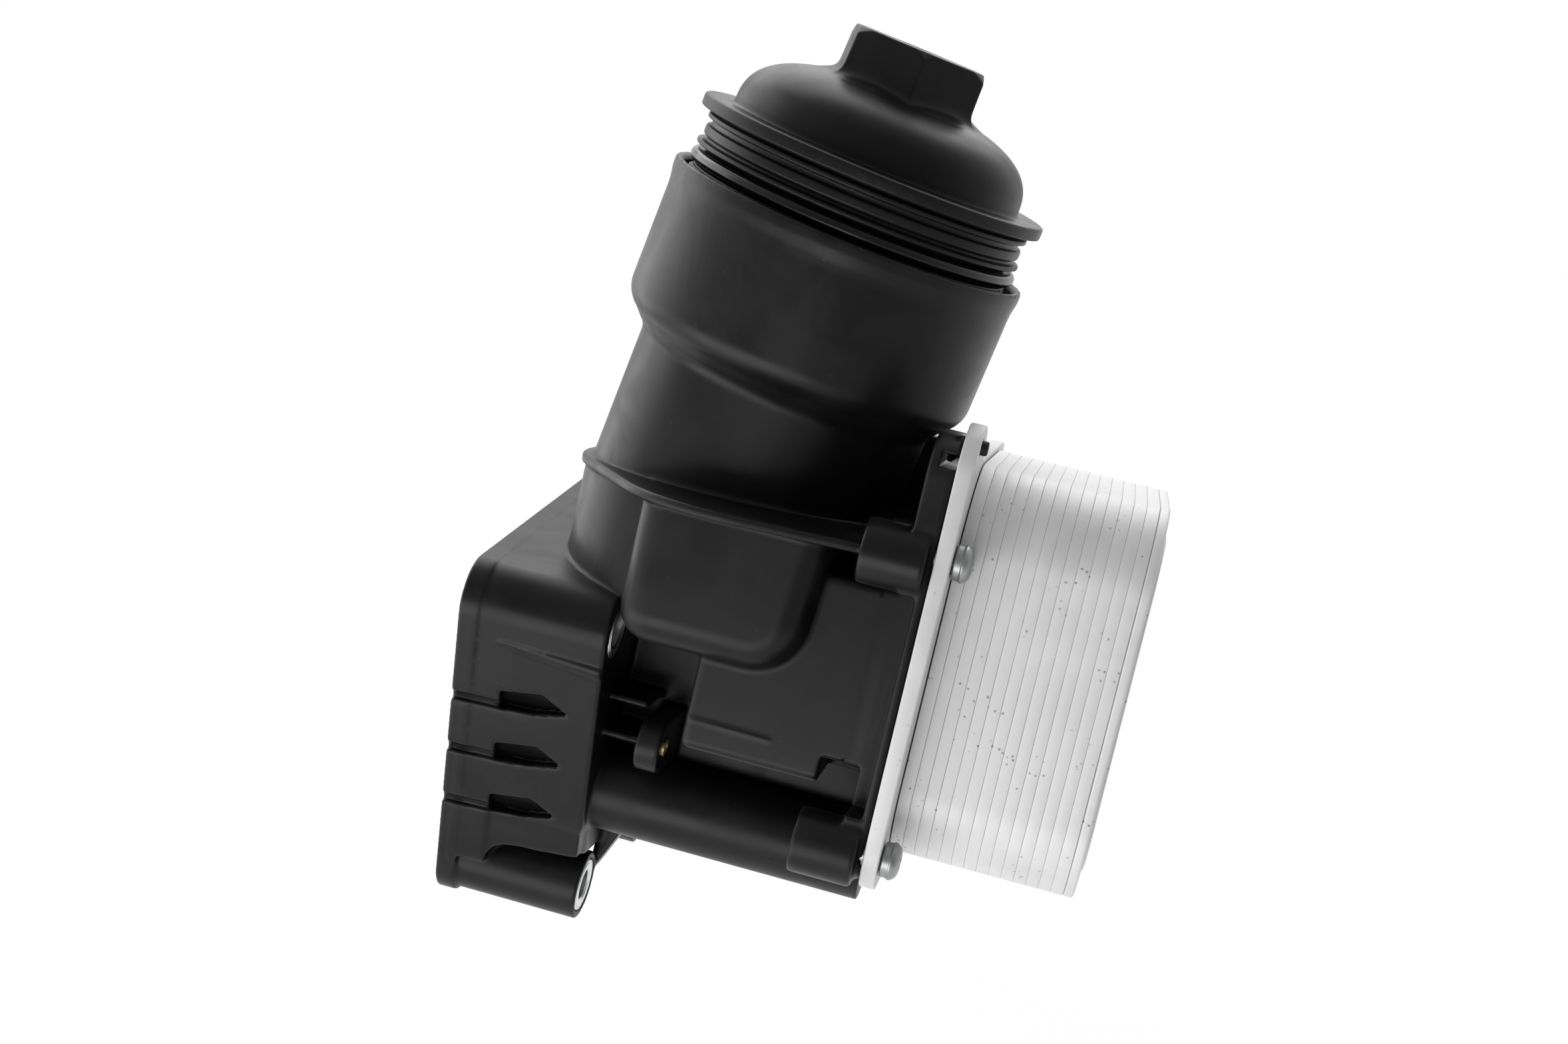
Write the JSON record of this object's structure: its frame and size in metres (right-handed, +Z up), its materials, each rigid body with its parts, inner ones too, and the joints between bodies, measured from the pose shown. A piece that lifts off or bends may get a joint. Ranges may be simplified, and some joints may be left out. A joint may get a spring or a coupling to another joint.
{
  "type": "oil filter housing",
  "caption": "Engine oil filter module: leaning filter bowl with a hex screw cap and inner cartridge, boxed bolt-on flange and a stacked-plate oil cooler.",
  "frame": {"origin": "on the engine face, level with the lower bolts' middle; the bowl's axis meets the body's flat top above y = 0", "axes": "+X out of the engine along the bolts towards the oil cooler, +Z up along the engine face, -Y towards the side that the picture shows"},
  "size_m": [0.168, 0.141, 0.2513],
  "materials": {
    "black_nylon": "moulded satin, fine grain",
    "cap_nylon": "moulded satin",
    "black_rubber": "smooth, oiled",
    "cooler_aluminium": "brazed, dull",
    "zinc_steel": "zinc plated",
    "brass": "turned",
    "filter_paper": "resin-treated pleats",
    "end_disc": "pressed felt",
    "green_nylon": "moulded"
  },
  "bodies": {
    "module": {"housing": "black_nylon", "sleeve_front_top": "zinc_steel", "sleeve_front_foot": "zinc_steel", "sleeve_rear_top": "zinc_steel", "sleeve_rear_foot": "zinc_steel", "lug_insert": "brass", "cooler_base_plate": "cooler_aluminium", "core_plate_01": "cooler_aluminium", "core_plate_02": "cooler_aluminium", "core_plate_03": "cooler_aluminium", "core_plate_04": "cooler_aluminium", "core_plate_05": "cooler_aluminium", "core_plate_06": "cooler_aluminium", "core_plate_07": "cooler_aluminium", "core_plate_08": "cooler_aluminium", "core_plate_09": "cooler_aluminium", "core_plate_10": "cooler_aluminium", "core_plate_11": "cooler_aluminium", "core_plate_12": "cooler_aluminium", "core_plate_13": "cooler_aluminium", "core_plate_14": "cooler_aluminium", "cooler_cover": "cooler_aluminium", "cooler_screw_1": "zinc_steel", "cooler_screw_2": "zinc_steel", "cooler_screw_3": "zinc_steel", "cooler_screw_4": "zinc_steel"},
    "cartridge": {"filter_pleats": "filter_paper", "centre_tube": "green_nylon", "upper_end_disc": "end_disc", "lower_end_disc": "end_disc", "drain_seal": "black_rubber", "bypass_spring": "zinc_steel", "bypass_cage": "green_nylon"},
    "cap": {"screw_cap": "cap_nylon", "cap_seal": "black_rubber"},
    "valve": {"bypass_plunger": "green_nylon"}
  },
  "joints": [
    {"name": "cap_lift", "type": "slide", "parent": "module", "child": "cartridge", "axis": [0.1737, -0.0872, 0.9809], "range_m": [-0.01366, 0.00197]},
    {"name": "cap_turn", "type": "hinge", "parent": "cartridge", "child": "cap", "pos_m": [0.07263, -0.00785, 0.16728], "axis": [0.1737, -0.0872, 0.9809], "range_deg": [-1230, 178]},
    {"name": "valve_slide", "type": "slide", "parent": "cartridge", "child": "valve", "axis": [0.1737, -0.0872, 0.9809], "range_m": [-0.005, 0], "stiffness_N_per_m": 900, "springref_m": 0.0005, "deforming": ["bypass_spring"]}
  ],
  "couplings": [
    {"joint": "cap_turn", "follows": "cap_lift", "rad_per_m": 1570.8}
  ]
}
